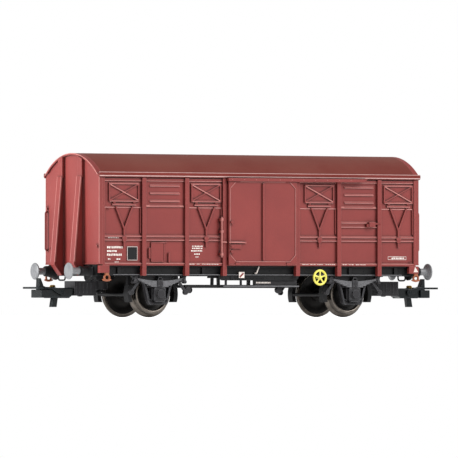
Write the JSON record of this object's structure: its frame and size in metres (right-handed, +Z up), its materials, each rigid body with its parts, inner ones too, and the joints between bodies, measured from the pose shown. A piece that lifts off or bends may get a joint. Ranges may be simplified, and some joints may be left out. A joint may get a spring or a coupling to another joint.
{
  "type": "model railroad boxcar",
  "caption": "Model railway boxcar: closed body with an arched roof, ribbed sides, sliding doors, spoked brake wheel, buffers, turning wheelsets and swinging loop couplers.",
  "frame": {"origin": "centre of the wagon, on the level that the wheel flanges stand on", "axes": "+X along the wagon towards its rear end, +Y towards its right side, +Z up"},
  "size_m": [0.1348, 0.0346, 0.047],
  "materials": {
    "side_wall": "satin red-brown paint on plastic",
    "end_wall": "satin red-brown paint on plastic",
    "roof": "matt red-brown paint on plastic",
    "load_floor": "planked moulding",
    "ballast_weight": "plain steel strip",
    "floor_pan": "black moulding",
    "solebar": "black moulding",
    "cross_bearers": "black moulding",
    "headstock": "black moulding",
    "door": "satin red-brown paint on plastic",
    "door_track": "satin red-brown paint on plastic",
    "door_latch": "satin red-brown paint on plastic",
    "door_step": "dark grey moulding",
    "grab_rail": "satin red-brown paint on plastic",
    "rope_eyes": "orange-brown moulding",
    "shunter_rails": "black wire moulding",
    "buffer": "light grey moulding",
    "axle_guard": "dark grey moulding",
    "brake_shoes": "dark grey moulding",
    "brake_rigging": "dark grey moulding",
    "brake_cylinder": "dark grey moulding",
    "air_tank": "dark grey moulding",
    "brake_wheel": "yellow moulding",
    "brake_plate": "off-white moulding",
    "coupler_mount": "black moulding",
    "axle": "turned steel",
    "wheel": "blackened steel with a bright tread",
    "coupler_arm": "black moulding",
    "coupler_head": "black moulding",
    "coupler_loop": "blackened steel strip"
  },
  "bodies": {
    "wagon": {"side_wall_left": "side_wall", "side_wall_right": "side_wall", "end_wall_front": "end_wall", "end_wall_rear": "end_wall", "roof": "roof", "load_floor": "load_floor", "ballast_weight": "ballast_weight", "floor_pan": "floor_pan", "solebar_left": "solebar", "solebar_right": "solebar", "cross_bearers": "cross_bearers", "headstock_front": "headstock", "headstock_rear": "headstock", "door_track_left": "door_track", "door_track_right": "door_track", "door_latch_left": "door_latch", "door_latch_right": "door_latch", "door_step_left": "door_step", "door_step_right": "door_step", "grab_rail_front": "grab_rail", "grab_rail_rear": "grab_rail", "rope_eyes": "rope_eyes", "shunter_rails": "shunter_rails", "buffer_front_left": "buffer", "buffer_front_right": "buffer", "buffer_rear_left": "buffer", "buffer_rear_right": "buffer", "axle_guard_front_left": "axle_guard", "axle_guard_front_right": "axle_guard", "axle_guard_rear_left": "axle_guard", "axle_guard_rear_right": "axle_guard", "brake_shoes_front": "brake_shoes", "brake_shoes_rear": "brake_shoes", "brake_rigging": "brake_rigging", "brake_cylinder": "brake_cylinder", "air_tank": "air_tank", "brake_wheel_left": "brake_wheel", "brake_wheel_right": "brake_wheel", "brake_plate_left": "brake_plate", "brake_plate_right": "brake_plate", "coupler_mount_front": "coupler_mount", "coupler_mount_rear": "coupler_mount"},
    "wheelset_front": {"axle_front": "axle", "wheel_front_left": "wheel", "wheel_front_right": "wheel"},
    "wheelset_rear": {"axle_rear": "axle", "wheel_rear_left": "wheel", "wheel_rear_right": "wheel"},
    "sliding_door_left": {"door_left": "door"},
    "sliding_door_right": {"door_right": "door"},
    "coupler_front": {"coupler_arm_front": "coupler_arm", "coupler_head_front": "coupler_head"},
    "loop_front": {"coupler_loop_front": "coupler_loop"},
    "coupler_rear": {"coupler_arm_rear": "coupler_arm", "coupler_head_rear": "coupler_head"},
    "loop_rear": {"coupler_loop_rear": "coupler_loop"}
  },
  "joints": [
    {"name": "wheelset_front_turn", "type": "hinge", "parent": "wagon", "child": "wheelset_front", "pos_m": [-0.03275, 0, 0.00675], "axis": [0, 1, 0], "continuous": true},
    {"name": "wheelset_rear_turn", "type": "hinge", "parent": "wagon", "child": "wheelset_rear", "pos_m": [0.03275, 0, 0.00675], "axis": [0, 1, 0], "continuous": true},
    {"name": "door_left_slide", "type": "slide", "parent": "wagon", "child": "sliding_door_left", "axis": [1, 0, 0], "range_m": [0, 0.0224]},
    {"name": "door_right_slide", "type": "slide", "parent": "wagon", "child": "sliding_door_right", "axis": [-1, 0, 0], "range_m": [0, 0.0224]},
    {"name": "coupler_front_swing", "type": "hinge", "parent": "wagon", "child": "coupler_front", "pos_m": [-0.0445, 0, 0.0092], "axis": [0, 0, 1], "range_deg": [-12, 12]},
    {"name": "coupler_rear_swing", "type": "hinge", "parent": "wagon", "child": "coupler_rear", "pos_m": [0.0445, 0, 0.0092], "axis": [0, 0, 1], "range_deg": [-12, 12]},
    {"name": "loop_front_lift", "type": "hinge", "parent": "coupler_front", "child": "loop_front", "pos_m": [-0.0586, 0, 0.0072], "axis": [0, 1, 0], "range_deg": [0, 25]},
    {"name": "loop_rear_lift", "type": "hinge", "parent": "coupler_rear", "child": "loop_rear", "pos_m": [0.0586, 0, 0.0072], "axis": [0, -1, 0], "range_deg": [0, 25]}
  ]
}
